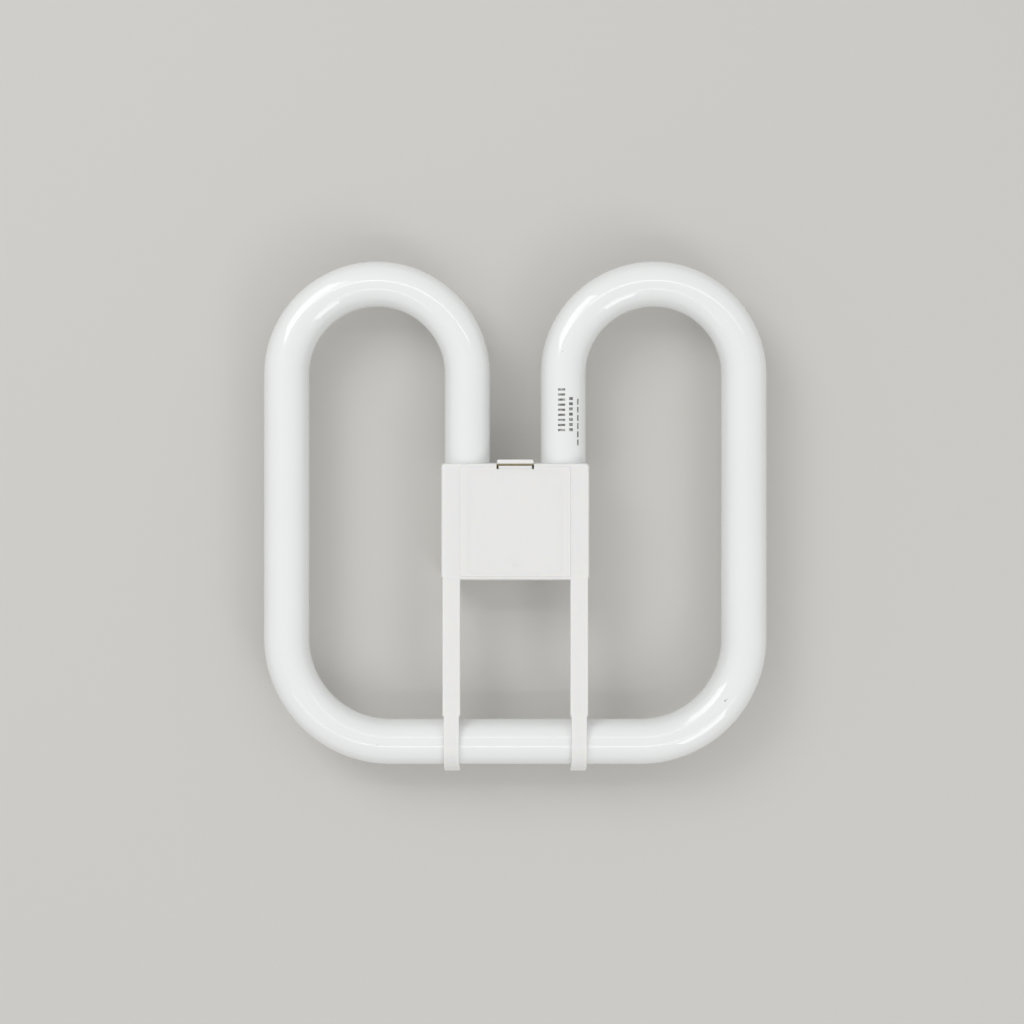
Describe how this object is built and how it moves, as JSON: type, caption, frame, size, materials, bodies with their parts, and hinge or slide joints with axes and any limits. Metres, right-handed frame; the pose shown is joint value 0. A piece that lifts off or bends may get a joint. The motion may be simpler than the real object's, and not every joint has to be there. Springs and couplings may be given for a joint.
{
  "type": "square compact fluorescent lamp",
  "caption": "Bent fluorescent tube with a square outline, held by a central plastic cap with clip arms and a recessed pin base on its back.",
  "frame": {"origin": "the middle of the cap's rear rim, on the plane that the lamp lies on", "axes": "+Z from the cap's back to the lamp's front, +Y from the cap to the humps of the tube, +X across the lamp"},
  "size_m": [0.205, 0.2085, 0.033],
  "materials": {
    "coated_glass": "smooth clear glass over an opaque white inner coating",
    "white_plastic": "satin off-white moulding",
    "plated_pin": "nickel plated",
    "lead_metal": "drawn wire",
    "sleeve": "woven sleeve, unglazed",
    "cement": "cured white cement"
  },
  "bodies": {
    "root": {"discharge_tube": "coated_glass", "front_cover": "white_plastic", "base_housing": "white_plastic", "contact_pin_1": "plated_pin", "contact_pin_2": "plated_pin", "contact_pin_3": "plated_pin", "contact_pin_4": "plated_pin", "lead_wire_1": "lead_metal", "lead_wire_2": "lead_metal", "lead_wire_3": "lead_metal", "lead_wire_4": "lead_metal", "lead_sleeve_1": "sleeve", "lead_sleeve_2": "sleeve", "lead_sleeve_3": "sleeve", "lead_sleeve_4": "sleeve", "tube_bed_left": "cement", "tube_bed_right": "cement"}
  },
  "joints": []
}
